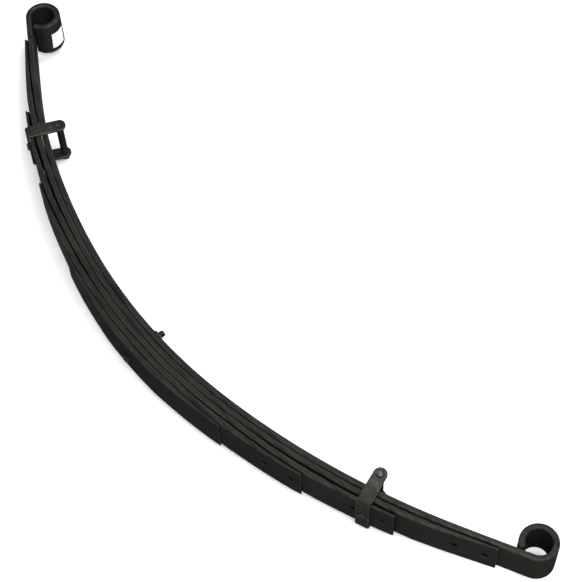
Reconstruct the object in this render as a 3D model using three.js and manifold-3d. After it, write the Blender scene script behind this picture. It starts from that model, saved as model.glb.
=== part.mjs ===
// A semi-elliptic leaf spring lying on the long edges of its leaves.
// X runs from the left eye to the right eye, Y from the short leaves towards the eyes, Z across the leaves.
// Lengths are in millimetres.
import * as THREE from "three";
import { mergeVertices } from "three/addons/utils/BufferGeometryUtils.js";
import Module from "manifold-3d";

// Leaves. A half length is measured along the main leaf's inner face, from the centre bolt.
const LEAF_COUNT = 5;
const LEAF_WIDTH = 63.5;
const LEAF_THICKNESS = 9;
const LEAF_TIP_THICKNESS = 3;
const TAPER_LENGTH = 120;
const EDGE_ROUND = 1.2;
const HALF_LENGTH = { 2: 577, 3: 437, 4: 303, 5: 173 };
const LEAF_CLEARANCE = 0.3;
const SEAT_HALF_LENGTH = 58;
const TIP_GAP = { 2: 1.6, 3: 3, 4: 1.6 };
const STATION_STEP = 30;

// Camber: a tight arc over the centre bolt, a flatter arc on each side, then straight into the eye.
const CENTRE_RADIUS = 848;
const CENTRE_ARC = 150;
const SIDE_RADIUS = { left: 1045, right: 1212 };
const SIDE_ARC_END = 520;

// Eyes, rolled from the ends of the main leaf towards its inner face.
const EYE_DISTANCE = 622;
const EYE_OUTER_RADIUS = 27.1;
const EYE_INNER_RADIUS = EYE_OUTER_RADIUS - LEAF_THICKNESS;
const EYE_ROLL_START = -90;
const EYE_ROLL_END = 218;
const EYE_STEPS = 28;

// Centre bolt: round head under the short leaf, nut on the main leaf.
const CENTRE_BOLT_RADIUS = 5;
const CENTRE_HEAD_RADIUS = 7;
const CENTRE_HEAD_HEIGHT = 6;
const CENTRE_BOLT_END = 16.5;
const CENTRE_BOLT_CHAMFER = 1.5;
const CENTRE_HEAD_CHAMFER = 1;
const CENTRE_NUT_FLATS = 17;
const CENTRE_NUT_HEIGHT = 8;

// Rebound clips: a bent strap riveted under leaf 3, closed over the main leaf by a bolt in a tube.
const CLIP_DISTANCE = 394;
const STRAP_WIDTH = 20;
const STRAP_THICKNESS = 4;
const STRAP_BEND_RADIUS = 1.8;
const STRAP_SIDE_GAP = 0.4;
const CLIP_BOLT_HEIGHT = 19.5;
const CLIP_BOLT_RADIUS = 4;
const CLIP_HEAD_RADIUS = 6;
const CLIP_HEAD_HEIGHT = 4;
const CLIP_NUT_FLATS = 13;
const CLIP_NUT_HEIGHT = 6.5;
const CLIP_BOLT_OVERHANG = 1.5;
const CLIP_BOLT_CHAMFER = 1;
const CLIP_TUBE_RADIUS = 5.5;
const RIVET_RADIUS = 4;
const RIVET_HEAD_RADIUS = 6.5;
const RIVET_HEAD_HEIGHT = 2.5;
const RIVET_SINK_RADIUS = 6;
const RIVET_SINK_DEPTH = 2;

// Anti-friction liners between the leaf ends, each held by two studs in the leaf below it.
const LINER_LENGTH = 68;
const LINER_WIDTH = 60;
const LINER_FROM_TIP = 1.5;
const STUD_FROM_TIP = [16, 58];
const STUD_RADIUS = 4.2;
const STUD_RECESS = 0.8;

// Blank label round the left eye: its middle as an angle round the eye and a distance across the leaf.
const LABEL_WIDTH = 25;
const LABEL_HEIGHT = 32;
const LABEL_THICKNESS = 0.4;
const LABEL_TURN = -3;
const LABEL_ANGLE = 134.5;
const LABEL_MIDDLE = -5;
const LABEL_STEPS = 20;

const TOUCH_GAP = 0.3;
const RUNNING_GAP = 0.08;
const OVERSHOOT = 1;
const ROUND_SEGMENTS = 24;
const DOME_STEPS = 5;
const NUT_CHAMFER_SHARE = 0.12;

const wasm = await Module();
wasm.setup();

// ---- booleans ----

function solidOf(geometry) {
  const bare = geometry.clone();
  bare.deleteAttribute("normal");
  bare.deleteAttribute("uv");
  const merged = mergeVertices(bare, 1e-4);
  return new wasm.Manifold(new wasm.Mesh({
    numProp: 3,
    vertProperties: Float32Array.from(merged.attributes.position.array),
    triVerts: Uint32Array.from(merged.index.array),
  }));
}

function geometryOf(solid) {
  const mesh = solid.getMesh();
  const geometry = new THREE.BufferGeometry();
  geometry.setAttribute("position", new THREE.BufferAttribute(Float32Array.from(mesh.vertProperties), 3));
  geometry.setIndex(new THREE.BufferAttribute(Uint32Array.from(mesh.triVerts), 1));
  return geometry;
}

function cut(geometry, ...cutters) {
  return geometryOf(cutters.reduce((rest, cutter) => rest.subtract(solidOf(cutter)), solidOf(geometry)));
}

function join(geometry, ...others) {
  return geometryOf(others.reduce((rest, other) => rest.add(solidOf(other)), solidOf(geometry)));
}

function overlap(geometry, other) {
  return geometryOf(solidOf(geometry).intersect(solidOf(other)));
}

// ---- the curve of the pack ----

// Point on the main leaf's inner face at a signed arc length, with the leaf's slope there.
function camber(s) {
  const side = Math.sign(s);
  const sideRadius = s < 0 ? SIDE_RADIUS.left : SIDE_RADIUS.right;
  const length = Math.abs(s);
  const centreTurn = Math.min(length, CENTRE_ARC) / CENTRE_RADIUS;
  const sideLength = THREE.MathUtils.clamp(length - CENTRE_ARC, 0, SIDE_ARC_END - CENTRE_ARC);
  const turn = centreTurn + sideLength / sideRadius;
  const straight = Math.max(length - SIDE_ARC_END, 0);
  const x = CENTRE_RADIUS * Math.sin(centreTurn)
    + sideRadius * (Math.sin(turn) - Math.sin(centreTurn))
    + straight * Math.cos(turn);
  const y = CENTRE_RADIUS * (1 - Math.cos(centreTurn))
    + sideRadius * (Math.cos(centreTurn) - Math.cos(turn))
    + straight * Math.sin(turn);
  return { x: side * x, y, slope: side * turn };
}

// Point at arc length s, raised by height from the main leaf's inner face towards the eyes.
function at(s, height) {
  const { x, y, slope } = camber(s);
  return new THREE.Vector2(x - height * Math.sin(slope), y + height * Math.cos(slope));
}

// Places a geometry made round the origin at arc length s: its X along the leaf, its Y out of it.
function seat(geometry, s, height = 0) {
  const { slope } = camber(s);
  const point = at(s, height);
  return geometry.rotateZ(slope).translate(point.x, point.y, 0);
}

function thickness(leaf, s) {
  if (leaf === 1) return LEAF_THICKNESS;
  const taperStart = HALF_LENGTH[leaf] - TAPER_LENGTH;
  const share = THREE.MathUtils.clamp((Math.abs(s) - taperStart) / TAPER_LENGTH, 0, 1);
  return THREE.MathUtils.lerp(LEAF_THICKNESS, LEAF_TIP_THICKNESS, share);
}

// Gap above a leaf: the leaves touch at the centre and open towards their tips.
function gapAbove(leaf, s) {
  if (!(leaf in TIP_GAP)) return LEAF_CLEARANCE;
  const opensAt = HALF_LENGTH[leaf + 2] ?? SEAT_HALF_LENGTH;
  const share = THREE.MathUtils.smoothstep(Math.abs(s), opensAt, HALF_LENGTH[leaf + 1]);
  return THREE.MathUtils.lerp(LEAF_CLEARANCE, TIP_GAP[leaf], share);
}

function underside(leaf, s) {
  const above = leaf === 1 ? 0 : topside(leaf, s);
  return above - thickness(leaf, s);
}

function topside(leaf, s) {
  return underside(leaf - 1, s) - gapAbove(leaf, s);
}

// ---- building blocks ----

function stations(from, to) {
  const count = Math.max(2, Math.ceil(Math.abs(to - from) / STATION_STEP));
  return Array.from({ length: count + 1 }, (_, i) => THREE.MathUtils.lerp(from, to, i / count));
}

// A flat outline in X and Y made into a plate of the given width across Z, with rounded long edges.
function plate(points, width, round) {
  return new THREE.ExtrudeGeometry(new THREE.Shape(points), {
    depth: width - 2 * round,
    bevelEnabled: round > 0,
    bevelThickness: round,
    bevelSize: round,
    bevelOffset: -round,
    bevelSegments: 2,
  }).translate(0, 0, round - width / 2);
}

function strip(top, bottom, from, to, width, round) {
  const upper = stations(from, to).map((s) => at(s, top(s)));
  const lower = stations(to, from).map((s) => at(s, bottom(s)));
  return plate([...upper, ...lower], width, round);
}

// A turned piece about the Y axis from [radius, height] corners that start and end on the axis.
function turned(corners) {
  return new THREE.LatheGeometry(corners.map(([r, y]) => new THREE.Vector2(r, y)), ROUND_SEGMENTS);
}

function rod(radius, from, to) {
  return turned([[0, from], [radius, from], [radius, to], [0, to]]);
}

// Corners of a domed head from its rim to the axis; a negative height domes downwards.
function dome(radius, seatLevel, height) {
  const corners = Array.from({ length: DOME_STEPS }, (_, i) => {
    const angle = (i / DOME_STEPS) * (Math.PI / 2);
    return [radius * Math.cos(angle), seatLevel + height * Math.sin(angle)];
  });
  return [...corners, [0, seatLevel + height]];
}

function hexNut(flats, bore, from, height) {
  const corner = flats / Math.sqrt(3);
  const blank = new THREE.CylinderGeometry(corner, corner, height, 6).translate(0, from + height / 2, 0);
  const chamfer = NUT_CHAMFER_SHARE * flats;
  const rounded = turned([
    [0, from],
    [flats / 2, from],
    [corner + TOUCH_GAP, from + chamfer / 2],
    [corner + TOUCH_GAP, from + height - chamfer / 2],
    [flats / 2, from + height],
    [0, from + height],
  ]);
  return cut(overlap(blank, rounded), rod(bore, from - OVERSHOOT, from + height + OVERSHOOT));
}

function mesh(name, geometry, [color, roughness, metalness]) {
  const material = new THREE.MeshStandardMaterial({ color, roughness, metalness });
  material.name = name;
  const piece = new THREE.Mesh(geometry, material);
  piece.name = name;
  return piece;
}

const LEAF_PAINT = [0x2b2b28, 0.45, 0.6];
const CLIP_PAINT = [0x3a3a36, 0.4, 0.6];
const FASTENER_FINISH = [0x4a4945, 0.35, 0.8];
const LINER_PLASTIC = [0x151514, 0.7, 0];
const LABEL_PAPER = [0xf1efe9, 0.6, 0];

// ---- leaves ----

// Point on an eye at an angle from the leaf's own direction, turning towards the inner face.
function onEye(side, radius, degrees) {
  const end = side * EYE_DISTANCE;
  const centre = at(end, EYE_INNER_RADIUS);
  const { slope } = camber(end);
  const angle = THREE.MathUtils.degToRad(degrees);
  const along = side * radius * Math.cos(angle);
  const out = radius * Math.sin(angle);
  return new THREE.Vector2(
    centre.x + along * Math.cos(slope) - out * Math.sin(slope),
    centre.y + along * Math.sin(slope) + out * Math.cos(slope),
  );
}

function eyeArc(side, radius, fromDegrees, toDegrees) {
  return Array.from({ length: EYE_STEPS + 1 }, (_, i) => {
    return onEye(side, radius, THREE.MathUtils.lerp(fromDegrees, toDegrees, i / EYE_STEPS));
  });
}

function mainLeaf() {
  const inner = stations(-EYE_DISTANCE, EYE_DISTANCE).slice(1, -1).map((s) => at(s, 0));
  const outer = stations(EYE_DISTANCE, -EYE_DISTANCE).slice(1, -1).map((s) => at(s, -LEAF_THICKNESS));
  const outline = [
    ...eyeArc(-1, EYE_INNER_RADIUS, EYE_ROLL_END, EYE_ROLL_START),
    ...inner,
    ...eyeArc(1, EYE_INNER_RADIUS, EYE_ROLL_START, EYE_ROLL_END),
    ...eyeArc(1, EYE_OUTER_RADIUS, EYE_ROLL_END, EYE_ROLL_START),
    ...outer,
    ...eyeArc(-1, EYE_OUTER_RADIUS, EYE_ROLL_START, EYE_ROLL_END),
  ];
  return cut(plate(outline, LEAF_WIDTH, EDGE_ROUND), centreHole());
}

function centreHole() {
  const packDepth = LEAF_COUNT * (LEAF_THICKNESS + LEAF_CLEARANCE);
  return rod(CENTRE_BOLT_RADIUS + TOUCH_GAP, -packDepth - OVERSHOOT, OVERSHOOT);
}

function studHole(leaf, s) {
  const middle = (topside(leaf, s) + underside(leaf, s)) / 2;
  return seat(rod(STUD_RADIUS + TOUCH_GAP, -LEAF_THICKNESS, LEAF_THICKNESS), s, middle);
}

function leafBelow(leaf) {
  const half = HALF_LENGTH[leaf];
  const top = (s) => topside(leaf, s);
  const bottom = (s) => underside(leaf, s);
  const blank = strip(top, bottom, -half, half, LEAF_WIDTH, EDGE_ROUND);
  const holes = [centreHole()];
  if (leaf in TIP_GAP) {
    for (const side of [-1, 1]) {
      for (const distance of STUD_FROM_TIP) holes.push(studHole(leaf, side * (half - distance)));
    }
  }
  if (leaf === 3) {
    for (const side of [-1, 1]) holes.push(rivetHole(side));
  }
  return cut(blank, ...holes);
}

// ---- liners ----

function liner(leaf, side) {
  const tip = HALF_LENGTH[leaf] - LINER_FROM_TIP;
  const pad = strip(
    (s) => topside(leaf, s) + gapAbove(leaf, s) - TOUCH_GAP,
    (s) => topside(leaf, s) + TOUCH_GAP,
    side * (tip - LINER_LENGTH),
    side * tip,
    LINER_WIDTH,
    0,
  );
  const studs = STUD_FROM_TIP.map((distance) => {
    const s = side * (HALF_LENGTH[leaf] - distance);
    const depth = topside(leaf, s) - underside(leaf, s) - STUD_RECESS;
    return seat(rod(STUD_RADIUS, -depth, 2 * TOUCH_GAP), s, topside(leaf, s));
  });
  return join(pad, ...studs);
}

// ---- centre bolt ----

function centreBolt() {
  const seatLevel = underside(LEAF_COUNT, 0) - TOUCH_GAP;
  const headEnd = seatLevel - CENTRE_HEAD_HEIGHT;
  return turned([
    [0, headEnd],
    [CENTRE_HEAD_RADIUS - CENTRE_HEAD_CHAMFER, headEnd],
    [CENTRE_HEAD_RADIUS, headEnd + CENTRE_HEAD_CHAMFER],
    [CENTRE_HEAD_RADIUS, seatLevel],
    [CENTRE_BOLT_RADIUS, seatLevel],
    [CENTRE_BOLT_RADIUS, CENTRE_BOLT_END - CENTRE_BOLT_CHAMFER],
    [CENTRE_BOLT_RADIUS - CENTRE_BOLT_CHAMFER, CENTRE_BOLT_END],
    [0, CENTRE_BOLT_END],
  ]);
}

function centreNut() {
  return hexNut(CENTRE_NUT_FLATS, CENTRE_BOLT_RADIUS + TOUCH_GAP, TOUCH_GAP, CENTRE_NUT_HEIGHT);
}

// ---- rebound clips ----

const EAR_INNER = LEAF_WIDTH / 2 + STRAP_SIDE_GAP;
const EAR_OUTER = EAR_INNER + STRAP_THICKNESS;

function strapSeat(side) {
  return underside(3, side * (CLIP_DISTANCE - STRAP_WIDTH / 2)) - TOUCH_GAP;
}

// Cross-section of the bent strap: across the leaf in X, out of it in Y.
function strapSection(base, top) {
  const bottom = base - STRAP_THICKNESS;
  const bend = STRAP_BEND_RADIUS;
  const outerBend = bend + STRAP_THICKNESS;
  const bendCentre = EAR_INNER - bend;
  const shape = new THREE.Shape();
  shape.moveTo(EAR_OUTER, top);
  shape.lineTo(EAR_INNER, top);
  shape.lineTo(EAR_INNER, base + bend);
  shape.absarc(bendCentre, base + bend, bend, 0, -Math.PI / 2, true);
  shape.lineTo(-bendCentre, base);
  shape.absarc(-bendCentre, base + bend, bend, -Math.PI / 2, -Math.PI, true);
  shape.lineTo(-EAR_INNER, top);
  shape.lineTo(-EAR_OUTER, top);
  shape.lineTo(-EAR_OUTER, base + bend);
  shape.absarc(-bendCentre, base + bend, outerBend, Math.PI, 1.5 * Math.PI, false);
  shape.lineTo(bendCentre, bottom);
  shape.absarc(bendCentre, base + bend, outerBend, -Math.PI / 2, 0, false);
  return shape;
}

function clipStrap(side) {
  const base = strapSeat(side);
  const top = CLIP_BOLT_HEIGHT + STRAP_WIDTH / 2;
  const bent = new THREE.ExtrudeGeometry(strapSection(base, top), {
    depth: STRAP_WIDTH,
    bevelEnabled: false,
    curveSegments: 8,
  }).translate(0, 0, -STRAP_WIDTH / 2).rotateY(Math.PI / 2);
  const earOutline = new THREE.Shape();
  earOutline.moveTo(-STRAP_WIDTH / 2, base - 2 * STRAP_THICKNESS);
  earOutline.lineTo(STRAP_WIDTH / 2, base - 2 * STRAP_THICKNESS);
  earOutline.absarc(0, CLIP_BOLT_HEIGHT, STRAP_WIDTH / 2, 0, Math.PI, false);
  const envelope = new THREE.ExtrudeGeometry(earOutline, {
    depth: 2 * (EAR_OUTER + OVERSHOOT),
    bevelEnabled: false,
    curveSegments: 20,
  }).translate(0, 0, -EAR_OUTER - OVERSHOOT);
  const boltHole = rod(CLIP_BOLT_RADIUS + RUNNING_GAP, -EAR_OUTER - OVERSHOOT, EAR_OUTER + OVERSHOOT)
    .rotateX(Math.PI / 2)
    .translate(0, CLIP_BOLT_HEIGHT, 0);
  const strap = seat(cut(overlap(bent, envelope), boltHole), side * CLIP_DISTANCE);
  return cut(strap, rivetHole(side));
}

// The clip bolt's axis runs across the leaf; its head is on the upper side as the spring lies.
function clipBolt(side) {
  const headSeat = EAR_OUTER + TOUCH_GAP;
  const end = -(EAR_OUTER + TOUCH_GAP + CLIP_NUT_HEIGHT + CLIP_BOLT_OVERHANG);
  const bolt = turned([
    [0, end],
    [CLIP_BOLT_RADIUS - CLIP_BOLT_CHAMFER, end],
    [CLIP_BOLT_RADIUS, end + CLIP_BOLT_CHAMFER],
    [CLIP_BOLT_RADIUS, headSeat],
    ...dome(CLIP_HEAD_RADIUS, headSeat, CLIP_HEAD_HEIGHT),
  ]);
  return seat(bolt.rotateX(Math.PI / 2), side * CLIP_DISTANCE, CLIP_BOLT_HEIGHT);
}

// Spacer tube on the clip bolt: it keeps the strap's ears apart when the nut is tightened.
function clipSpacer(side) {
  const end = EAR_INNER - TOUCH_GAP;
  const bore = rod(CLIP_BOLT_RADIUS + TOUCH_GAP, -EAR_OUTER, EAR_OUTER);
  const tube = cut(rod(CLIP_TUBE_RADIUS, -end, end), bore);
  return seat(tube.rotateX(Math.PI / 2), side * CLIP_DISTANCE, CLIP_BOLT_HEIGHT);
}

function clipNut(side) {
  const from = -(EAR_OUTER + TOUCH_GAP + CLIP_NUT_HEIGHT);
  const nut = hexNut(CLIP_NUT_FLATS, CLIP_BOLT_RADIUS + TOUCH_GAP, from, CLIP_NUT_HEIGHT);
  return seat(nut.rotateX(Math.PI / 2), side * CLIP_DISTANCE, CLIP_BOLT_HEIGHT);
}

// Heights of the rivet's faces above the main leaf's inner face.
function rivetLevels(side) {
  const sunkFace = topside(3, side * CLIP_DISTANCE) - TOUCH_GAP;
  const sunkEnd = sunkFace - RIVET_SINK_DEPTH;
  const strapFace = strapSeat(side) - STRAP_THICKNESS - TOUCH_GAP;
  const headEnd = strapFace - RIVET_HEAD_HEIGHT;
  return { sunkFace, sunkEnd, strapFace, headEnd };
}

// Rivet through the strap and leaf 3: sunk head under the liner, round head outside the strap.
function rivet(side) {
  const { sunkFace, sunkEnd, strapFace } = rivetLevels(side);
  return seat(turned([
    ...dome(RIVET_HEAD_RADIUS, strapFace, -RIVET_HEAD_HEIGHT).reverse(),
    [RIVET_RADIUS, strapFace],
    [RIVET_RADIUS, sunkEnd],
    [RIVET_SINK_RADIUS, sunkFace],
    [0, sunkFace],
  ]), side * CLIP_DISTANCE);
}

function rivetHole(side) {
  const { sunkFace, sunkEnd, headEnd } = rivetLevels(side);
  const shank = RIVET_RADIUS + TOUCH_GAP;
  const sink = RIVET_SINK_RADIUS + TOUCH_GAP;
  return seat(turned([
    [0, headEnd],
    [shank, headEnd],
    [shank, sunkEnd],
    [sink, sunkFace],
    [sink, sunkFace + LEAF_THICKNESS],
    [0, sunkFace + LEAF_THICKNESS],
  ]), side * CLIP_DISTANCE);
}

// ---- label ----

// A flat rectangle, turned, then bent round the eye: its X becomes the angle and its Y runs across the leaf.
function label() {
  const sheet = new THREE.BoxGeometry(
    LABEL_WIDTH,
    LABEL_HEIGHT,
    LABEL_THICKNESS,
    LABEL_STEPS,
    LABEL_STEPS / 2,
  ).rotateZ(THREE.MathUtils.degToRad(LABEL_TURN));
  const corners = sheet.attributes.position;
  for (let i = 0; i < corners.count; i += 1) {
    const turn = THREE.MathUtils.radToDeg(corners.getX(i) / EYE_OUTER_RADIUS);
    const radius = EYE_OUTER_RADIUS + TOUCH_GAP + LABEL_THICKNESS / 2 + corners.getZ(i);
    const point = onEye(-1, radius, LABEL_ANGLE - turn);
    corners.setXYZ(i, point.x, point.y, LABEL_MIDDLE + corners.getY(i));
  }
  return sheet;
}

// ---- assembly ----

const spring = new THREE.Group();
spring.name = "leaf_spring";
spring.add(mesh("main_leaf", mainLeaf(), LEAF_PAINT));
for (const leaf of [2, 3, 4, 5]) spring.add(mesh(`leaf_${leaf}`, leafBelow(leaf), LEAF_PAINT));
spring.add(mesh("centre_bolt", centreBolt(), FASTENER_FINISH));
spring.add(mesh("centre_nut", centreNut(), FASTENER_FINISH));
for (const [sideName, side] of [["left", -1], ["right", 1]]) {
  spring.add(mesh(`${sideName}_clip_strap`, clipStrap(side), CLIP_PAINT));
  spring.add(mesh(`${sideName}_clip_bolt`, clipBolt(side), FASTENER_FINISH));
  spring.add(mesh(`${sideName}_clip_spacer`, clipSpacer(side), FASTENER_FINISH));
  spring.add(mesh(`${sideName}_clip_nut`, clipNut(side), FASTENER_FINISH));
  spring.add(mesh(`${sideName}_clip_rivet`, rivet(side), CLIP_PAINT));
  for (const leaf of Object.keys(TIP_GAP).map(Number)) {
    spring.add(mesh(`${sideName}_liner_${leaf}`, liner(leaf, side), LINER_PLASTIC));
  }
}
spring.add(mesh("blank_label", label(), LABEL_PAPER));

// The frame's origin is under the middle of the whole spring, at its lowest point.
const box = new THREE.Box3().setFromObject(spring);
const middle = box.getCenter(new THREE.Vector3());
for (const piece of spring.children) piece.geometry.translate(-middle.x, -middle.y, -box.min.z);

export default spring;
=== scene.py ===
"""A multi-leaf spring lying on its side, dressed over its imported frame.

X runs from the left eye to the right eye, Y from the short leaves towards the eyes,
and Z across the leaves. Lengths are in metres and angles in degrees. s is a distance
along the main leaf from the centre bolt, and side is -1 for the left and 1 for the right.
"""
import math
from collections import namedtuple

import bmesh
import bpy
from mathutils import Matrix, Quaternion, Vector


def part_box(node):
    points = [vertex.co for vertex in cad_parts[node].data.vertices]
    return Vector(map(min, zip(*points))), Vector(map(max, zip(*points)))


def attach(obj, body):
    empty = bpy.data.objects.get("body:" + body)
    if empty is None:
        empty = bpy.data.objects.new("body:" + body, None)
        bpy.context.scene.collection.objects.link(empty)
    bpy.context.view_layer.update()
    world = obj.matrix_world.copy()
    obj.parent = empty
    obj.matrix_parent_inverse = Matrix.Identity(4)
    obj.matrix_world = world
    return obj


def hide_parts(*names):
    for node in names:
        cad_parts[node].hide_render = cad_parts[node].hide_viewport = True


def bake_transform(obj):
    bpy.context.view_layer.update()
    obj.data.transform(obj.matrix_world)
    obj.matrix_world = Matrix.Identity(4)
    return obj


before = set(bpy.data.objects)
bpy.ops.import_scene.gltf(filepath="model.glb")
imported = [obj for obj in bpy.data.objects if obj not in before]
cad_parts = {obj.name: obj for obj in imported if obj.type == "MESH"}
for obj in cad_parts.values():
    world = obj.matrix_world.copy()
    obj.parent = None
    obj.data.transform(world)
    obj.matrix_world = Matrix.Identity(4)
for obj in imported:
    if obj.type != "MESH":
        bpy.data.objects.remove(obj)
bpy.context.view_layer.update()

# ---- sizes ----

# Leaves. Leaf 1 is the main leaf and leaf 5 the shortest. Their half lengths are measured
# on the main leaf's inner face, from the centre bolt.
SHORTEST_LEAF = 5
LEAF_THICKNESS = 0.009
LEAF_TIP_THICKNESS = 0.003
TAPER_LENGTH = 0.12
HALF_LENGTH = {2: 0.577, 3: 0.437, 4: 0.303, 5: 0.173}
LEAF_CLEARANCE = 0.0003
SEAT_HALF_LENGTH = 0.058
TIP_GAP = {2: 0.0016, 3: 0.003, 4: 0.0016}
EDGE_ROUND_ACROSS = 0.0032
EDGE_ROUND_SHARE = 0.47
END_ROUND = 0.0008

# Camber.
CENTRE_RADIUS = 0.848
CENTRE_ARC = 0.15
LEFT_RADIUS = 1.045
RIGHT_RADIUS = 1.212
SIDE_ARC_END = 0.52

# Eyes, rolled from the leaf's end and round to nearly touch it.
EYE_DISTANCE = 0.622
EYE_OUTER_RADIUS = 0.0271
EYE_INNER_RADIUS = EYE_OUTER_RADIUS - LEAF_THICKNESS
EYE_ROLL_START = -90
EYE_ROLL_END = 218
EYE_ROLL_STEP = 5

# Centre bolt.
CENTRE_BOLT_RADIUS = 0.005
CENTRE_BOLT_END = 0.0165
CENTRE_HEAD_RADIUS = 0.007
CENTRE_HEAD_HEIGHT = 0.006
CENTRE_NUT_FLATS = 0.017
CENTRE_NUT_HEIGHT = 0.008
CENTRE_PITCH = 0.0015
CENTRE_CHAMFER = 0.0012

# Rebound clips, riveted under the third leaf.
CLIP_LEAF = 3
CLIP_DISTANCE = 0.394
STRAP_WIDTH = 0.02
STRAP_THICKNESS = 0.004
STRAP_BEND_RADIUS = 0.0018
STRAP_SIDE_GAP = 0.0004
STRAP_ROUND = 0.0009
CLIP_BOLT_HEIGHT = 0.0195
CLIP_BOLT_RADIUS = 0.004
CLIP_TUBE_RADIUS = 0.0055
CLIP_HEAD_RADIUS = 0.006
CLIP_HEAD_HEIGHT = 0.004
CLIP_NUT_FLATS = 0.013
CLIP_NUT_HEIGHT = 0.0065
CLIP_OVERHANG = 0.0015
CLIP_PITCH = 0.00125
CLIP_CHAMFER = 0.0008
RIVET_RADIUS = 0.004
RIVET_HEAD_RADIUS = 0.0065
RIVET_HEAD_HEIGHT = 0.0025
RIVET_DIMPLE_RADIUS = 0.0042
RIVET_DIMPLE_DEPTH = 0.0023

# Nuts and threads. A thread's depth is a share of its pitch, and its rows are counted per turn.
HEX_SIDES = 6
NUT_CHAMFER = 0.0006
# how pale a nut's outer corners are: scuffing and a painted highlight
NUT_CORNER_WEAR_AND_HIGHLIGHT = 0.6
CORNER_CUT_ANGLE = 30
THREAD_DEPTH = 0.5
THREAD_ROWS = 6

# Liners. Those of the bent leaf lie where the pack bends, the others outside it.
BENT_LINER_LEAF = 4
LINER_LENGTH = 0.068
LINER_WIDTH = 0.06
LINER_FROM_TIP = 0.0015
STUD_FROM_TIP = (0.016, 0.058)
STUD_RADIUS = 0.0042
STUD_RECESS = 0.0011
HOLE_LIP = 0.0007

# Label.
LABEL_WIDTH = 0.025
LABEL_HEIGHT = 0.032
LABEL_THICKNESS = 0.00025
LABEL_LIFT = 0.0001
LABEL_TURN = -3
LABEL_ANGLE = 134.5
LABEL_MIDDLE = -0.005

# Room between touching pieces, and how finely curves are cut into flats. Domes and ears
# stop at the last round angle, just short of a point.
TOUCH_GAP = 0.0003
STATION_STEP = 0.008
CORNER_STEPS = 6
END_STEPS = 3
ROUND_STEPS = 48
DOME_STEPS = 8
BEND_STEPS = 8
EAR_STEPS = 12
LABEL_STEPS = 24
LAST_ROUND_ANGLE = 88

# The pack's own origin in the frame: on the centre bolt's axis, at the main leaf's
# inner face, at mid width.
bolt_low, bolt_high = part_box("centre_bolt")
leaf_low, leaf_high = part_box("main_leaf")
ORIGIN = Vector((
    (bolt_low.x + bolt_high.x) / 2,
    bolt_high.y - CENTRE_BOLT_END,
    (leaf_low.z + leaf_high.z) / 2,
))
LEAF_HALF_WIDTH = (leaf_high.z - leaf_low.z) / 2
EAR_INNER = LEAF_HALF_WIDTH + STRAP_SIDE_GAP
EAR_OUTER = EAR_INNER + STRAP_THICKNESS


# ---- the curve of the pack ----

def blend_between(a, b, share):
    """The value at a share of the way from a to b."""
    return a + (b - a) * share


def clamp01(value):
    return min(max(value, 0), 1)


def turned_to(degrees):
    """Unit vector in the plane of the camber."""
    angle = math.radians(degrees)
    return Vector((math.cos(angle), math.sin(angle), 0))


def camber(s):
    """Point on the main leaf's inner face at s, and the leaf's slope there in radians."""
    side = -1 if s < 0 else 1
    radius = LEFT_RADIUS if s < 0 else RIGHT_RADIUS
    length = abs(s)
    centre_turn = min(length, CENTRE_ARC) / CENTRE_RADIUS
    turn = centre_turn + min(max(length - CENTRE_ARC, 0), SIDE_ARC_END - CENTRE_ARC) / radius
    straight = max(length - SIDE_ARC_END, 0)
    x = (CENTRE_RADIUS * math.sin(centre_turn)
         + radius * (math.sin(turn) - math.sin(centre_turn))
         + straight * math.cos(turn))
    y = (CENTRE_RADIUS * (1 - math.cos(centre_turn))
         + radius * (math.cos(centre_turn) - math.cos(turn))
         + straight * math.sin(turn))
    return ORIGIN + Vector((side * x, y, 0)), side * turn


def seat(s, height=0):
    """Matrix with local X along the leaf at s, local Y out of it, and its origin height above it."""
    point, slope = camber(s)
    turn = Matrix.Rotation(slope, 4, "Z")
    return Matrix.Translation(point) @ turn @ Matrix.Translation((0, height, 0))


def thickness(leaf, s):
    """The main leaf is even. The others taper to their tips."""
    if leaf == 1:
        return LEAF_THICKNESS
    share = clamp01((abs(s) - HALF_LENGTH[leaf] + TAPER_LENGTH) / TAPER_LENGTH)
    return blend_between(LEAF_THICKNESS, LEAF_TIP_THICKNESS, share)


def gap_above(leaf, s):
    """Room between a leaf and the one above.

    It starts to open over the tip of the second leaf below, or at the seat's end where there
    is none, and is full over the tip of the next leaf below.
    """
    if leaf not in TIP_GAP:
        return LEAF_CLEARANCE
    opens_at = HALF_LENGTH.get(leaf + 2, SEAT_HALF_LENGTH)
    share = clamp01((abs(s) - opens_at) / (HALF_LENGTH[leaf + 1] - opens_at))
    return blend_between(LEAF_CLEARANCE, TIP_GAP[leaf], share * share * (3 - 2 * share))


def topside(leaf, s):
    """Height of a leaf's upper face over the main leaf's inner face."""
    if leaf == 1:
        return 0
    return underside(leaf - 1, s) - gap_above(leaf, s)


def underside(leaf, s):
    """Height of a leaf's lower face over the main leaf's inner face."""
    return topside(leaf, s) - thickness(leaf, s)


def eye_matrix(side):
    """Matrix of an eye's centre, with local X away from the leaf and local Y to the inner side."""
    matrix = seat(side * EYE_DISTANCE, EYE_INNER_RADIUS)
    return matrix @ Matrix.Diagonal((side, 1, 1, 1))


# ---- mesh building ----

def steps(start, end, step):
    """Even values from start to end, about a step apart."""
    count = max(2, math.ceil(abs(end - start) / step))
    return [blend_between(start, end, i / count) for i in range(count + 1)]


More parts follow.
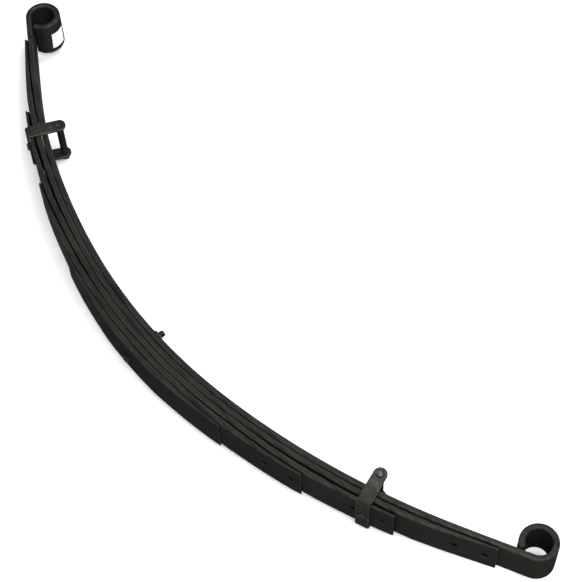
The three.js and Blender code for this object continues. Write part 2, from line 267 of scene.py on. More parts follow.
def piece(name, verts, faces, wear_and_highlight=None):
    """A smooth mesh object, with a value from 0 to 1 at each point for how much its paint is scuffed
    there and how much painted highlight it has.
    """
    mesh = bpy.data.meshes.new(name)
    mesh.from_pydata([tuple(v) for v in verts], [], faces)
    attribute = mesh.attributes.new("wear_and_highlight", "FLOAT", "POINT")
    attribute.data.foreach_set("value", wear_and_highlight or [0.0] * len(verts))
    work = bmesh.new()
    work.from_mesh(mesh)
    bmesh.ops.recalc_face_normals(work, faces=work.faces)
    work.to_mesh(mesh)
    work.free()
    mesh.shade_smooth()
    made = bpy.data.objects.new(name, mesh)
    bpy.context.scene.collection.objects.link(made)
    return made


def skin(name, rings, closed=False):
    """A skin through rings of (point, scuffing and painted highlight), capped at both ends unless it
    closes on itself.
    """
    size = len(rings[0])
    verts = [point for ring in rings for point, _ in ring]
    wear_and_highlight = [worn_and_highlit for ring in rings for _, worn_and_highlit in ring]
    last = len(rings) if closed else len(rings) - 1
    faces = []
    for i in range(last):
        here = i * size
        there = ((i + 1) % len(rings)) * size
        for j in range(size):
            k = (j + 1) % size
            faces.append((here + j, here + k, there + k, there + j))
    if not closed:
        faces.append(tuple(range(size - 1, -1, -1)))
        faces.append(tuple(range(len(verts) - size, len(verts))))
    return piece(name, verts, faces, wear_and_highlight)


def bar_section(half_width, low, high, round_across, round_share):
    """Points (across, height, scuffing and painted highlight) round a bar. Its elliptical corners are
    scuffed at their middles and carry a painted highlight there.
    """
    middle = (low + high) / 2
    half = (high - low) / 2
    round_up = 2 * half * round_share
    points = []
    for quarter, (across, up) in enumerate(((1, 1), (-1, 1), (-1, -1), (1, -1))):
        for i in range(CORNER_STEPS + 1):
            share = i / CORNER_STEPS
            angle = math.radians(90 * (quarter + share))
            points.append((
                across * (half_width - round_across) + round_across * math.cos(angle),
                middle + up * (half - round_up) + round_up * math.sin(angle),
                # corner middles get the most scuffing, and a painted highlight line along each edge
                math.sin(math.pi * share),
            ))
    return points


def drawn_in(value, middle, amount):
    """A value moved towards the middle by amount, but not past it."""
    away = value - middle
    return value - math.copysign(min(amount, abs(away)), away)


def inset(section, amount):
    """The same section drawn in by amount all round, as for a rounded end, and scuffed and given a
    painted highlight all round.
    """
    middle = sum(h for _, h, _ in section) / len(section)
    return [(drawn_in(z, 0, amount), drawn_in(h, middle, amount), 1.0) for z, h, _ in section]


def bar(name, places, sections):
    """A bar with rounded ends through matrices (local Y up, local Z across), a section at each."""
    rings = []
    for matrix, section in zip(places, sections):
        rings.append([(matrix @ Vector((0, h, z)), worn_and_highlit) for z, h, worn_and_highlit in section])
    for end, towards in ((0, -1), (-1, 1)):
        matrix, section = places[end], sections[end]
        for i in range(1, END_STEPS + 1):
            angle = math.radians(90 * i / END_STEPS)
            ring = inset(section, END_ROUND * (1 - math.cos(angle)))
            ahead = END_ROUND * math.sin(angle) * towards
            made = [(matrix @ Vector((ahead, h, z)), worn_and_highlit) for z, h, worn_and_highlit in ring]
            rings.insert(0 if end == 0 else len(rings), made)
    return skin(name, rings)


# A thread runs between two heights of a turned piece.
Thread = namedtuple("Thread", "low high pitch")


def rows_between(here, there, thread):
    """Rows (radius, height, scuffing and painted highlight, threaded) from one corner up to the next,
    close set on a thread.
    """
    low, high = sorted((here[1], there[1]))
    count = 1
    if thread and low >= thread.low - TOUCH_GAP and high <= thread.high + TOUCH_GAP:
        count = max(1, math.ceil((high - low) / (thread.pitch / THREAD_ROWS)))
    rows = []
    for i in range(count):
        between = [blend_between(a, b, i / count) for a, b in zip(here, there)]
        rows.append((*between, count > 1))
    return rows


def turning(name, corners, matrix, thread=None):
    """A turned piece about local Y through (radius, height, scuffing and painted highlight) corners,
    capped at both ends.

    A helical groove is cut into it between the heights of its thread, if it has one.
    """
    rows = []
    for here, there in zip(corners, corners[1:]):
        rows += rows_between(here, there, thread)
    rows.append((*corners[-1], False))
    rings = []
    for radius, height, worn_and_highlit, threaded in rows:
        ring = []
        for k in range(ROUND_STEPS):
            around = k / ROUND_STEPS
            groove = 0
            if threaded:
                phase = (height / thread.pitch - around) % 1
                groove = thread.pitch * THREAD_DEPTH * (1 - abs(2 * phase - 1))
            reach = max(radius - groove, radius / 2)
            direction = turned_to(360 * around)
            point = Vector((direction.x * reach, height, direction.y * reach))
            ring.append((matrix @ point, worn_and_highlit))
        rings.append(ring)
    return skin(name, rings)


def dome(radius, base, height):
    """(radius, height, scuffing and painted highlight) corners of a domed head, from its rim to just
    off its axis. The crown gets the most, as a painted highlight on top of the dome.
    """
    corners = []
    for i in range(DOME_STEPS + 1):
        angle = math.radians(LAST_ROUND_ANGLE * i / DOME_STEPS)
        # rises towards the crown: scuffing, and a painted highlight on top of the dome
        worn_and_highlit = 0.4 + 0.6 * i / DOME_STEPS
        corners.append((radius * math.cos(angle), base + height * math.sin(angle), worn_and_highlit))
    return corners


def hex_reach(around, flats):
    """Distance from a nut's axis to its side at an angle round it."""
    sector = 360 / HEX_SIDES
    from_flat = (around + sector / 2) % sector - sector / 2
    return flats / 2 / math.cos(math.radians(from_flat))


def hex_nut(name, flats, bore, base, height, matrix):
    """A hexagon nut about local Y, its corners cut and its bore chamfered at both faces."""
    flat_ring = flats / 2
    cut = math.tan(math.radians(CORNER_CUT_ANGLE))
    # (radius or None at the sides, depth below the face, scuffing and painted highlight), from the
    # bore outwards
    face = (
        (bore, NUT_CHAMFER, 0),
        (bore + NUT_CHAMFER, 0, 0),
        (flat_ring, 0, NUT_CORNER_WEAR_AND_HIGHLIGHT),
        (None, 0, NUT_CORNER_WEAR_AND_HIGHLIGHT),
    )
    profile = [(*row, False) for row in face] + [(*row, True) for row in reversed(face)]
    rings = []
    for radius, depth, worn_and_highlit, is_top in profile:
        ring = []
        for k in range(ROUND_STEPS):
            around = 360 * k / ROUND_STEPS
            reach = hex_reach(around, flats) if radius is None else radius
            drop = depth if radius is not None else (reach - flat_ring) * cut
            lift = height - drop if is_top else drop
            direction = turned_to(around)
            point = Vector((direction.x * reach, base + lift, direction.y * reach))
            ring.append((matrix @ point, worn_and_highlit))
        rings.append(ring)
    return skin(name, rings, closed=True)


def drill(target, cutters):
    """Cuts closed cutters out of a mesh, and removes them."""
    for cutter in cutters:
        cutting = target.modifiers.new("cut", "BOOLEAN")
        cutting.operation = "DIFFERENCE"
        cutting.solver = "EXACT"
        cutting.object = cutter
    settled = target.evaluated_get(bpy.context.evaluated_depsgraph_get())
    mesh = bpy.data.meshes.new_from_object(settled)
    target.modifiers.clear()
    target.data = mesh
    for cutter in cutters:
        bpy.data.objects.remove(cutter)


# ---- materials ----

# Stretches of a noise in rest coordinates. A small number draws its grain out along that axis.
EVEN = (1, 1, 1)
CLOUD_GRAIN = (0.2, 1, 1)
RUBBED_GRAIN = (0.1, 1, 1)
ROLLED_GRAIN = (1, 1, 2)
STREAK_GRAIN = (1, 1, 7)
NOISE_ROUGHNESS = 0.55

# Part metallic with a dark specular tint, so that no floor is mirrored at grazing angles.
PAINT_METALLIC = 0.32
PAINT_SPECULAR_TINT = (0.06, 0.06, 0.06, 1)


class Shader:
    """A node tree being built: one Principled shader, and helpers that add the nodes feeding it."""

    def __init__(self, name):
        self.material = bpy.data.materials.new(name)
        self.material.use_nodes = True
        self.tree = self.material.node_tree
        self.shader = self.tree.nodes["Principled BSDF"]
        self.rest = self.attribute("rest", "Vector")

    def attribute(self, name, output):
        """Values that the mesh carries at its points."""
        node = self.tree.nodes.new("ShaderNodeAttribute")
        node.attribute_name = name
        return node.outputs[output]

    def link(self, source, target):
        self.tree.links.new(source, target)

    def feed(self, source, name):
        """Links a source to one of the shader's inputs."""
        self.link(source, self.shader.inputs[name])

    def set(self, **values):
        """Sets plain values on the shader's inputs, named with underscores for spaces."""
        for name, value in values.items():
            self.shader.inputs[name.replace("_", " ")].default_value = value

    def noise(self, scale, detail, stretch=EVEN):
        """Soft noise in rest coordinates, so it stays with the piece as it bends."""
        mapping = self.tree.nodes.new("ShaderNodeMapping")
        mapping.inputs["Scale"].default_value = stretch
        self.link(self.rest, mapping.inputs["Vector"])
        node = self.tree.nodes.new("ShaderNodeTexNoise")
        node.inputs["Scale"].default_value = scale
        node.inputs["Detail"].default_value = detail
        node.inputs["Roughness"].default_value = NOISE_ROUGHNESS
        self.link(mapping.outputs["Vector"], node.inputs["Vector"])
        return node.outputs["Fac"]

    def spots(self, scale):
        """Distance to the nearest of scattered points."""
        node = self.tree.nodes.new("ShaderNodeTexVoronoi")
        node.inputs["Scale"].default_value = scale
        self.link(self.rest, node.inputs["Vector"])
        return node.outputs["Distance"]

    def fade(self, source, low, high, out_low=0.0, out_high=1.0):
        """Runs smoothly from out_low to out_high as the source goes from low to high."""
        node = self.tree.nodes.new("ShaderNodeMapRange")
        node.interpolation_type = "SMOOTHSTEP"
        node.inputs["From Min"].default_value = low
        node.inputs["From Max"].default_value = high
        node.inputs["To Min"].default_value = out_low
        node.inputs["To Max"].default_value = out_high
        self.link(source, node.inputs["Value"])
        return node.outputs["Result"]

    def maths(self, operation, a, b):
        """One sum on two values, each a number or a socket."""
        node = self.tree.nodes.new("ShaderNodeMath")
        node.operation = operation
        for socket, value in zip(node.inputs, (a, b)):
            if isinstance(value, (int, float)):
                socket.default_value = value
            else:
                self.link(value, socket)
        return node.outputs["Value"]

    def colours(self, share, a, b):
        """Mixes two colours, each given as numbers or as a socket."""
        node = self.tree.nodes.new("ShaderNodeMix")
        node.data_type = "RGBA"
        self.link(share, node.inputs["Factor"])
        # a Mix node has one set of sockets per data type; these are the colour ones
        for socket, value in ((node.inputs[6], a), (node.inputs[7], b)):
            if isinstance(value, tuple):
                socket.default_value = (*value, 1)
            else:
                self.link(value, socket)
        return node.outputs[2]

    def bump(self, height, distance, strength, under=None):
        node = self.tree.nodes.new("ShaderNodeBump")
        node.inputs["Distance"].default_value = distance
        node.inputs["Strength"].default_value = strength
        self.link(height, node.inputs["Height"])
        if under is not None:
            self.link(under, node.inputs["Normal"])
        return node.outputs["Normal"]


def paint_tone(made, dark, light, worn_and_highlit):
    """Clouds and fine streaks between two dark tones, with a little pale dust."""
    clouds = made.fade(made.noise(30, 4.0, CLOUD_GRAIN), 0.3, 0.7)
    streaks = made.fade(made.noise(26, 5.0, STREAK_GRAIN), 0.35, 0.75)
    clouds_part = made.maths("MULTIPLY", clouds, 0.6)
    streaks_part = made.maths("MULTIPLY", streaks, 0.4)
    paint = made.colours(made.maths("ADD", clouds_part, streaks_part), dark, light)
    dust = made.fade(made.noise(190, 3.0), 0.6, 0.78, 0.0, 0.35)
    return made.colours(dust, paint, worn_and_highlit)


def paint_relief(made):
    """Orange peel, long waves and small pits."""
    peel = made.bump(made.noise(420, 3.0), 0.0002, 0.22)
    waves = made.bump(made.noise(55, 2.0, ROLLED_GRAIN), 0.0006, 0.25, peel)
    return made.bump(made.fade(made.spots(230), 0.0, 0.16), 0.00015, 0.35, waves)


def painted_steel(name, dark, light, worn_and_highlit, roughness, edge_wear_and_highlight):
    """Satin paint over steel, paler and smoother in streaks on the edges, where the paint is scuffed
    and where a painted highlight is laid.
    """
    made = Shader(name)
    breakup = made.fade(made.noise(170, 5.0, RUBBED_GRAIN), 0.36, 0.62)
    # paler edges: scuffed paint, and also a painted highlight along each edge, rim and crown
    edges = made.maths("MULTIPLY", made.attribute("wear_and_highlight", "Fac"), breakup)
    rubbed_and_highlit = made.maths("MULTIPLY", edges, edge_wear_and_highlight)
    made.feed(made.colours(rubbed_and_highlit, paint_tone(made, dark, light, worn_and_highlit), worn_and_highlit), "Base Color")
    patches = made.noise(38, 5.0, ROLLED_GRAIN)
    rough = made.fade(patches, 0.25, 0.75, roughness - 0.09, roughness + 0.1)
    made.feed(made.maths("SUBTRACT", rough, made.maths("MULTIPLY", rubbed_and_highlit, 0.1)), "Roughness")
    made.feed(paint_relief(made), "Normal")
    made.set(Metallic=PAINT_METALLIC, Specular_IOR_Level=0.0, Specular_Tint=PAINT_SPECULAR_TINT)
    return made.material


def nylon(name):
    """Dull black nylon, made darker than the nylon itself as painted shade for the stud holes, with a
    fine moulded grain and a bloom of dust.
    """
    made = Shader(name)
    bloom = made.fade(made.noise(45, 5.0), 0.4, 0.75)
    # near-black tones: the nylon's own black, deepened into painted shade in the stud holes
    made.feed(made.colours(bloom, (0.0008, 0.0008, 0.0008), (0.0025, 0.0025, 0.0023)), "Base Color")
    made.feed(made.fade(bloom, 0, 1, 0.75, 0.9), "Roughness")
    made.feed(made.bump(made.noise(900, 2.0), 0.0001, 0.3), "Normal")
    made.set(Specular_IOR_Level=0.0)
    return made.material


def paper(name):
    """White label stock: faint fibres, slight yellowing and shallow wrinkles."""
    made = Shader(name)
    tone = made.fade(made.noise(60, 5.0), 0.3, 0.75)
    made.feed(made.colours(tone, (0.66, 0.66, 0.645), (0.56, 0.56, 0.54)), "Base Color")
    made.feed(made.fade(made.noise(320, 3.0), 0.3, 0.7, 0.45, 0.6), "Roughness")
    fibres = made.bump(made.noise(1500, 2.0), 0.00005, 0.25)
    made.feed(made.bump(made.noise(110, 2.0), 0.0004, 0.3, fibres), "Normal")
    return made.material


def floor_finish(name):
    """A matt pale floor, very slightly cloudy."""
    made = Shader(name)
    tone = made.fade(made.noise(3, 2.0), 0.3, 0.7)
    made.feed(made.colours(tone, (0.93, 0.93, 0.93), (0.95, 0.95, 0.95)), "Base Color")
    made.set(Roughness=0.9, Specular_IOR_Level=0.1)
    return made.material


# The pale colour and edge strength of each paint give scuffed edges, and also painted highlights on
# edges, rims and domes.
PAINTS = {
    "leaf_paint": {
        "name": "satin_black_leaf",
        "dark": (0.0142, 0.0139, 0.0126),
        "light": (0.0195, 0.019, 0.0173),
        "worn_and_highlit": (0.062, 0.0605, 0.0555),
        "roughness": 0.33,
        "edge_wear_and_highlight": 0.4,
    },
    "clip_paint": {
        "name": "satin_black_clip",
        "dark": (0.016, 0.0157, 0.0143),
        "light": (0.032, 0.0314, 0.0286),
        "worn_and_highlit": (0.15, 0.146, 0.135),
        "roughness": 0.3,
        "edge_wear_and_highlight": 0.6,
    },
    "fastener": {
        "name": "blackened_fastener",
        "dark": (0.01, 0.0098, 0.009),
        "light": (0.022, 0.0215, 0.0198),
        "worn_and_highlit": (0.15, 0.146, 0.134),
        "roughness": 0.27,
        "edge_wear_and_highlight": 0.5,
    },
}

FINISHES = {slot: painted_steel(**paint) for slot, paint in PAINTS.items()}
FINISHES["liner"] = nylon("black_nylon_with_hole_shade")
FINISHES["label"] = paper("blank_label_paper")


def dress(made, slot, *nodes):
    """Gives a piece its finish and rest coordinates, and stands it for CAD nodes.

    Its shading follows its larger faces, so flats look flat beside rounded edges.
    """
    mesh = made.data
    rest = mesh.attributes.new("rest", "FLOAT_VECTOR", "POINT")
    rest.data.foreach_set("vector", [c for v in mesh.vertices for c in v.co])
    mesh.materials.clear()
    mesh.materials.append(FINISHES[slot])
    shading = made.modifiers.new("flat_faces_first", "WEIGHTED_NORMAL")
    shading.keep_sharp = True
    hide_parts(*nodes)
    return made


# ---- leaves ----


def flex(made):
    """Bakes the placing of a piece that runs through the middle of the pack into its mesh."""
    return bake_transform(made)


def leaf_section(low, high):
    """Full width, with edges rounded by rolling."""
    return bar_section(LEAF_HALF_WIDTH, low, high, EDGE_ROUND_ACROSS, EDGE_ROUND_SHARE)


def rolled_eye(side):
    """Matrices round an eye, from where the leaf's end meets it to the end of the roll."""
    places = []
    for degrees in steps(EYE_ROLL_START, EYE_ROLL_END, EYE_ROLL_STEP):
        out = turned_to(degrees)
        # local X runs on round the roll, local Y points to the eye's middle
        turn = Matrix.Rotation(math.radians(degrees + 90), 4, "Z")
        places.append(eye_matrix(side) @ Matrix.Translation(out * EYE_INNER_RADIUS) @ turn)
    return places


def main_leaf():
    """One bar: rolled round the left eye, along the camber, and round the right eye."""
    # the left roll is walked back to front, so local X is turned round to run on
    turned_back = Matrix.Diagonal((-1, 1, 1, 1))
    places = [matrix @ turned_back for matrix in reversed(rolled_eye(-1))][:-1]
    places += [seat(s) for s in steps(-EYE_DISTANCE, EYE_DISTANCE, STATION_STEP)][:-1]
    places += rolled_eye(1)
    section = leaf_section(-LEAF_THICKNESS, 0)
    return bar("main_leaf_bar", places, [section] * len(places))


def stud_cutter(leaf, s):
    """Fills a stud's hole and the small lip at its mouth under the leaf."""
    mouth = underside(leaf, s)
    radius = STUD_RADIUS + TOUCH_GAP
    corners = [
        (radius + 2 * HOLE_LIP, mouth - HOLE_LIP, 0),
        (radius, mouth + HOLE_LIP, 0),
        (radius, topside(leaf, s) + 2 * HOLE_LIP, 0),
    ]
    return turning("cutter", corners, seat(s))


def leaf_below(leaf):
    """A leaf with tapered ends. All but the shortest have holes for the liner studs at their tips."""
    half = HALF_LENGTH[leaf] - END_ROUND
    along = steps(-half, half, STATION_STEP)
    sections = [leaf_section(underside(leaf, s), topside(leaf, s)) for s in along]
    made = bar(f"leaf_{leaf}_bar", [seat(s) for s in along], sections)
    if leaf in TIP_GAP:
        distances = [side * (HALF_LENGTH[leaf] - d) for side in (-1, 1) for d in STUD_FROM_TIP]
        drill(made, [stud_cutter(leaf, s) for s in distances])
    return made


def build_leaves():
    flex(dress(main_leaf(), "leaf_paint", "main_leaf"))
    for leaf in HALF_LENGTH:
        flex(dress(leaf_below(leaf), "leaf_paint", f"leaf_{leaf}"))


# ---- liners ----

def liner_stud(leaf, s):
    """A stud from inside the pad down its hole in the leaf. It ends a little short of the mouth."""
    end = underside(leaf, s) + STUD_RECESS
    corners = [
        (STUD_RADIUS / 4, end + HOLE_LIP / 2, 0),
        (STUD_RADIUS * 0.8, end, 0),
        (STUD_RADIUS, end, 0),
        (STUD_RADIUS, topside(leaf, s) + gap_above(leaf, s) / 2, 0),
    ]
    return turning("stud", corners, seat(s))


def liner(name, leaf, side):
    """A thin pad under the leaf above, with two studs that reach down into this leaf."""
    tip = HALF_LENGTH[leaf] - LINER_FROM_TIP
    along = sorted(steps(side * (tip - LINER_LENGTH), side * tip, STATION_STEP))
    sections = []
    for s in along:
        low = topside(leaf, s) + TOUCH_GAP / 2
        high = topside(leaf, s) + gap_above(leaf, s) - TOUCH_GAP / 2
        section = bar_section(LINER_WIDTH / 2, low, high, EDGE_ROUND_ACROSS / 3, EDGE_ROUND_SHARE)
        sections.append(section)
    pad = bar(name, [seat(s) for s in along], sections)
    studs = [liner_stud(leaf, side * (HALF_LENGTH[leaf] - d)) for d in STUD_FROM_TIP]
    return join(pad, studs)


def join(first, others):
    """One object from several meshes that are one piece in life."""
    work = bmesh.new()
    for made in (first, *others):
        work.from_mesh(made.data)
    work.to_mesh(first.data)
    work.free()
    for made in others:
        bpy.data.objects.remove(made)
    return first


# ---- bolts and nuts ----

def bolt_corners(radius, chamfer, start, end):
    """Corners of a shank from its chamfered end to just under its head, scuffed most at the end, with
    a painted highlight there.
    """
    way = 1 if end > start else -1
    return [
        (radius / 8, start, 0.3),
        (radius - chamfer, start, 0.6),
        (radius, start + way * chamfer, 0.6),
        (radius, start + way * 3 * chamfer, 0.3),
        (radius, end, 0),
    ]


def centre_head_corners(seat_level):
    """Corners of the centre bolt's round head, from its free face up to the leaf it bears on."""
    face = seat_level - CENTRE_HEAD_HEIGHT
    # third values: scuffing and a painted highlight, most at the head's rim
    return [
        (CENTRE_HEAD_RADIUS / 8, face, 0.3),
        (CENTRE_HEAD_RADIUS - CENTRE_CHAMFER, face, 0.8),
        (CENTRE_HEAD_RADIUS - CENTRE_CHAMFER / 3, face + CENTRE_CHAMFER / 3, 1),
        (CENTRE_HEAD_RADIUS, face + CENTRE_CHAMFER, 0.5),
        (CENTRE_HEAD_RADIUS, seat_level, 0),
    ]


def centre_bolt(name):
    """Head under the shortest leaf, shank up through the pack, thread from the main leaf up."""
    seat_level = underside(SHORTEST_LEAF, 0) - TOUCH_GAP
    shank = bolt_corners(CENTRE_BOLT_RADIUS, CENTRE_CHAMFER, CENTRE_BOLT_END, seat_level)
    shank.reverse()
    # a corner where the thread starts, at the main leaf's underside
    shank.insert(1, (CENTRE_BOLT_RADIUS, -LEAF_THICKNESS, 0))
    thread = Thread(-LEAF_THICKNESS, CENTRE_BOLT_END, CENTRE_PITCH)
    return turning(name, centre_head_corners(seat_level) + shank, seat(0), thread)


def centre_nut(name):
    """A nut on the main leaf's inner face."""
    place = seat(0)
    return hex_nut(name, CENTRE_NUT_FLATS, CENTRE_BOLT_RADIUS, TOUCH_GAP, CENTRE_NUT_HEIGHT, place)


def build_centre_clamp():
    bolt = centre_bolt("centre_bolt_turned")
    nut = centre_nut("centre_nut_hex")
    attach(dress(bolt, "fastener", "centre_bolt"), "centre_clamp")
    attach(dress(nut, "fastener", "centre_nut"), "centre_clamp")


# ---- rebound clips ----

def strap_seat(side):
    """Height of the strap's inner face, at its edge where the tapering leaf is thickest."""
    return underside(CLIP_LEAF, side * (CLIP_DISTANCE - STRAP_WIDTH / 2)) - TOUCH_GAP


def strap_path(base):
    """The middle of a bent strap, from the end of its upper ear to halfway under the pack.

    Each row is (across, height, direction of the strap's inner side, half width).
    """
    middle = STRAP_THICKNESS / 2
    bend = STRAP_BEND_RADIUS + middle
    across = EAR_INNER + middle
    bottom = base - middle
    half_width = STRAP_WIDTH / 2
    path = []
    for i in range(EAR_STEPS, 0, -1):
        angle = math.radians(LAST_ROUND_ANGLE * i / EAR_STEPS)
        height = CLIP_BOLT_HEIGHT + half_width * math.sin(angle)
        path.append((across, height, 180, half_width * math.cos(angle)))
    for height in steps(CLIP_BOLT_HEIGHT, bottom + bend, STATION_STEP):
        path.append((across, height, 180, half_width))
    for i in range(1, BEND_STEPS + 1):
        turn = 90 * i / BEND_STEPS
        z = across - bend + bend * math.cos(math.radians(turn))
        y = bottom + bend - bend * math.sin(math.radians(turn))
        path.append((z, y, 180 - turn, half_width))
    for z in steps(across - bend, 0, STATION_STEP)[1:]:
        path.append((z, bottom, 90, half_width))
    return path


def clip_strap(name, side):
    """A flat bar bent to a U round the pack, its rounded ears rising beside it to the clip bolt."""
    path = strap_path(strap_seat(side))
    mirrored = [(-z, y, 180 - inner, half) for z, y, inner, half in reversed(path[:-1])]
    place = seat(side * CLIP_DISTANCE)
    middle = STRAP_THICKNESS / 2
    rings = []
    for z, y, inner, half in path + mirrored:
        angle = math.radians(inner)
        rim = min(STRAP_ROUND, half / 2)
        ring = []
        for x, h, worn_and_highlit in bar_section(half, -middle, middle, rim, rim / STRAP_THICKNESS):
            point = Vector((x, y + h * math.sin(angle), z + h * math.cos(angle)))
            ring.append((place @ point, worn_and_highlit))
        rings.append(ring)
    return skin(name, rings)


def pin_seat(side):
    """Matrix on a clip bolt's axis, with local Y up along it."""
    upright = Matrix.Rotation(math.radians(90), 4, "X")
    return seat(side * CLIP_DISTANCE, CLIP_BOLT_HEIGHT) @ upright


def clip_bolt(name, side):
    """Domed head on the upper ear, threaded end through the lower ear's nut."""
    head = EAR_OUTER + TOUCH_GAP
    end = -(EAR_OUTER + TOUCH_GAP + CLIP_NUT_HEIGHT + CLIP_OVERHANG)
    corners = bolt_corners(CLIP_BOLT_RADIUS, CLIP_CHAMFER, end, head)
    # a corner where the thread stops, at the lower ear's inner side
    corners.insert(-1, (CLIP_BOLT_RADIUS, -EAR_INNER, 0))
    corners.append((CLIP_HEAD_RADIUS - HOLE_LIP, head, 0.2))
    corners += dome(CLIP_HEAD_RADIUS, head + HOLE_LIP, CLIP_HEAD_HEIGHT - HOLE_LIP)
    return turning(name, corners, pin_seat(side), Thread(end, -EAR_INNER, CLIP_PITCH))


def clip_spacer(name, side):
    """The tube between the ears, with the bolt through it."""
    bore = CLIP_BOLT_RADIUS + TOUCH_GAP
    half_length = EAR_INNER - TOUCH_GAP
    wall = CLIP_TUBE_RADIUS - bore
    section = bar_section(half_length, bore, CLIP_TUBE_RADIUS, wall / 3, 1 / 3)
    place = pin_seat(side)
    rings = []
    for i in range(ROUND_STEPS):
        turn = Matrix.Rotation(2 * math.pi * i / ROUND_STEPS, 4, "Y")
        points = [(turn @ Vector((radius, along, 0)), worn_and_highlit) for along, radius, worn_and_highlit in section]
        rings.append([(place @ point, worn_and_highlit) for point, worn_and_highlit in points])
    return skin(name, rings, closed=True)


def clip_nut(name, side):
    """A nut under the lower ear."""
    base = -(EAR_OUTER + TOUCH_GAP + CLIP_NUT_HEIGHT)
    return hex_nut(name, CLIP_NUT_FLATS, CLIP_BOLT_RADIUS, base, CLIP_NUT_HEIGHT, pin_seat(side))


def clip_rivet(name, side):
    """Domed head under the strap, dimpled by its closing tool, and a shank up into the clip's leaf."""
    base = strap_seat(side) - STRAP_THICKNESS - TOUCH_GAP / 3
    crown = base - RIVET_HEAD_HEIGHT
    dimple = crown + RIVET_DIMPLE_DEPTH
    shank_end = underside(CLIP_LEAF, side * CLIP_DISTANCE) + LEAF_TIP_THICKNESS / 2
    # third values: scuffing and a painted highlight on the head's shoulder
    corners = [
        (RIVET_DIMPLE_RADIUS / 8, dimple, 0),
        (RIVET_DIMPLE_RADIUS * 0.7, dimple, 0),
        (RIVET_DIMPLE_RADIUS, base - RIVET_HEAD_HEIGHT * 0.95, 0),
        (RIVET_DIMPLE_RADIUS + HOLE_LIP, crown, 0.2),
        (RIVET_HEAD_RADIUS - 2 * HOLE_LIP, base - RIVET_HEAD_HEIGHT * 0.75, 0.6),
        (RIVET_HEAD_RADIUS - HOLE_LIP / 2, base - RIVET_HEAD_HEIGHT * 0.4, 0.4),
        (RIVET_HEAD_RADIUS, base, 0),
        (RIVET_RADIUS, base, 0),
        (RIVET_RADIUS, shank_end, 0),
    ]
    return turning(name, corners, seat(side * CLIP_DISTANCE))


def build_clip(word, side):
    """Strap and rivet on the pack, bolt, tube and nut on their pin, and the liners of that side."""
    body = "leaf_pack" if side < 0 else "right_clip"
    pin = f"{word}_clip_pin"
    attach(dress(clip_strap(f"{word}_strap_bent", side), "clip_paint", f"{word}_clip_strap"), body)
    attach(dress(clip_rivet(f"{word}_rivet_domed", side), "clip_paint", f"{word}_clip_rivet"), body)
    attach(dress(clip_bolt(f"{word}_bolt_turned", side), "fastener", f"{word}_clip_bolt"), pin)
    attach(dress(clip_spacer(f"{word}_tube", side), "fastener", f"{word}_clip_spacer"), pin)
    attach(dress(clip_nut(f"{word}_nut_hex", side), "fastener", f"{word}_clip_nut"), pin)
    for leaf in TIP_GAP:
        pad = dress(liner(f"{word}_liner_{leaf}_pad", leaf, side), "liner", f"{word}_liner_{leaf}")
        if leaf == BENT_LINER_LEAF:
            flex(pad)
        else:
            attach(pad, body)


# ---- label ----

def label_layer(radius):
    """A square grid of points over the label, bent round the left eye at a radius."""
    turn = math.radians(LABEL_TURN)
    matrix = eye_matrix(-1)
    points = []
    for i in range(LABEL_STEPS + 1):
        for j in range(LABEL_STEPS + 1):
            u = (i / LABEL_STEPS - 0.5) * LABEL_WIDTH
            v = (j / LABEL_STEPS - 0.5) * LABEL_HEIGHT
            round_eye = u * math.cos(turn) - v * math.sin(turn)
            point = turned_to(LABEL_ANGLE - math.degrees(round_eye / EYE_OUTER_RADIUS)) * radius
            point.z = LABEL_MIDDLE + u * math.sin(turn) + v * math.cos(turn)
            points.append(matrix @ point)
    return points


def sheet_faces(count):
    """Faces of a closed sheet: two grids of count by count squares, joined round their rims."""
    size = count + 1
    top = size * size
    faces = []
    for i in range(count):
        for j in range(count):
            a = i * size + j
            faces.append((a, a + 1, a + size + 1, a + size))
            faces.append((top + a, top + a + size, top + a + size + 1, top + a + 1))
    rim = [i * size for i in range(count)]
    rim += [count * size + j for j in range(count)]
    rim += [i * size + count for i in range(count, 0, -1)]
    rim += list(range(count, 0, -1))
    for a, b in zip(rim, rim[1:] + rim[:1]):
        faces.append((a, b, top + b, top + a))
    return faces


def build_label():
    """A blank rectangle, turned a little, bent round the left eye."""
    inner = EYE_OUTER_RADIUS + LABEL_LIFT
    points = label_layer(inner) + label_layer(inner + LABEL_THICKNESS)
    made = piece("blank_label_sheet", points, sheet_faces(LABEL_STEPS))
    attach(dress(made, "label", "blank_label"), "leaf_pack")


# ---- stage ----

CAMERA_AIM = Vector((0.0615, 0.1058, 0.0511))
CAMERA_DISTANCE = 2.438
CAMERA_AZIMUTH = 52.84
CAMERA_ELEVATION = 58.38
CAMERA_ROLL = -2.17
CAMERA_LENS = 104.92
SENSOR_WIDTH = 36
CLIP_START = 0.05
FLOOR_SIZE = 14
FLOOR_DROP = 0.0005
WORLD_STRENGTH = 0.75

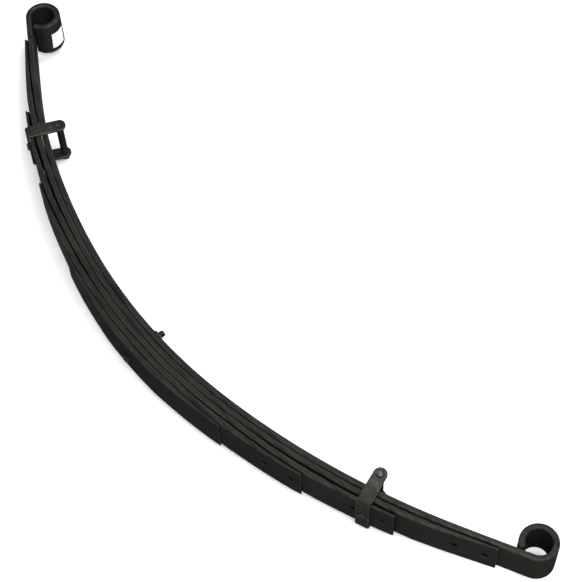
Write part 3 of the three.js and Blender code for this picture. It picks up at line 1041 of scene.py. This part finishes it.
# Square lamps aimed at the origin: (place, side length, power in watts).
LAMPS = {
    "overhead": ((1.3, -0.4, 2.4), 2.2, 92),
    "edge_glow": ((-0.5, 1.2, 2.6), 0.9, 33),
}


def build_camera():
    """A camera at a distance from its aim, turned round and up by two angles, and rolled."""
    data = bpy.data.cameras.new("camera")
    data.lens = CAMERA_LENS
    data.sensor_width = SENSOR_WIDTH
    data.clip_start = CLIP_START
    made = bpy.data.objects.new("camera", data)
    bpy.context.scene.collection.objects.link(made)
    across = math.radians(CAMERA_AZIMUTH)
    up = math.radians(CAMERA_ELEVATION)
    flat = math.cos(up)
    back = Vector((math.sin(across) * flat, -math.cos(across) * flat, math.sin(up)))
    made.location = CAMERA_AIM + back * CAMERA_DISTANCE
    made.rotation_mode = "QUATERNION"
    roll = Quaternion((0, 0, 1), math.radians(CAMERA_ROLL))
    made.rotation_quaternion = (-back).to_track_quat("-Z", "Y") @ roll
    bpy.context.scene.camera = made


def build_lamp(name, place, size, power):
    """A square lamp facing the origin."""
    data = bpy.data.lights.new(name, "AREA")
    data.shape = "SQUARE"
    data.size = size
    data.energy = power
    made = bpy.data.objects.new(name, data)
    bpy.context.scene.collection.objects.link(made)
    made.location = place
    made.rotation_mode = "QUATERNION"
    made.rotation_quaternion = (-Vector(place)).to_track_quat("-Z", "Y")


def build_world():
    """Even white light from all round."""
    world = bpy.data.worlds.new("studio")
    world.use_nodes = True
    background = world.node_tree.nodes["Background"]
    background.inputs["Color"].default_value = (1, 1, 1, 1)
    background.inputs["Strength"].default_value = WORLD_STRENGTH
    bpy.context.scene.world = world


def build_stage():
    """A plain floor just under the spring, the world and the lamps."""
    half = FLOOR_SIZE / 2
    corners = [(x * half, y * half, -FLOOR_DROP) for x, y in ((-1, -1), (1, -1), (1, 1), (-1, 1))]
    ground = piece("floor", corners, [(0, 1, 2, 3)])
    ground.data.materials.append(floor_finish("pale_floor"))
    build_world()
    for name, (place, size, power) in LAMPS.items():
        build_lamp(name, place, size, power)
    bpy.context.scene.view_settings.view_transform = "Standard"


# ---- assembly ----

build_leaves()
build_centre_clamp()
build_clip("left", -1)
build_clip("right", 1)
build_label()
build_camera()
build_stage()
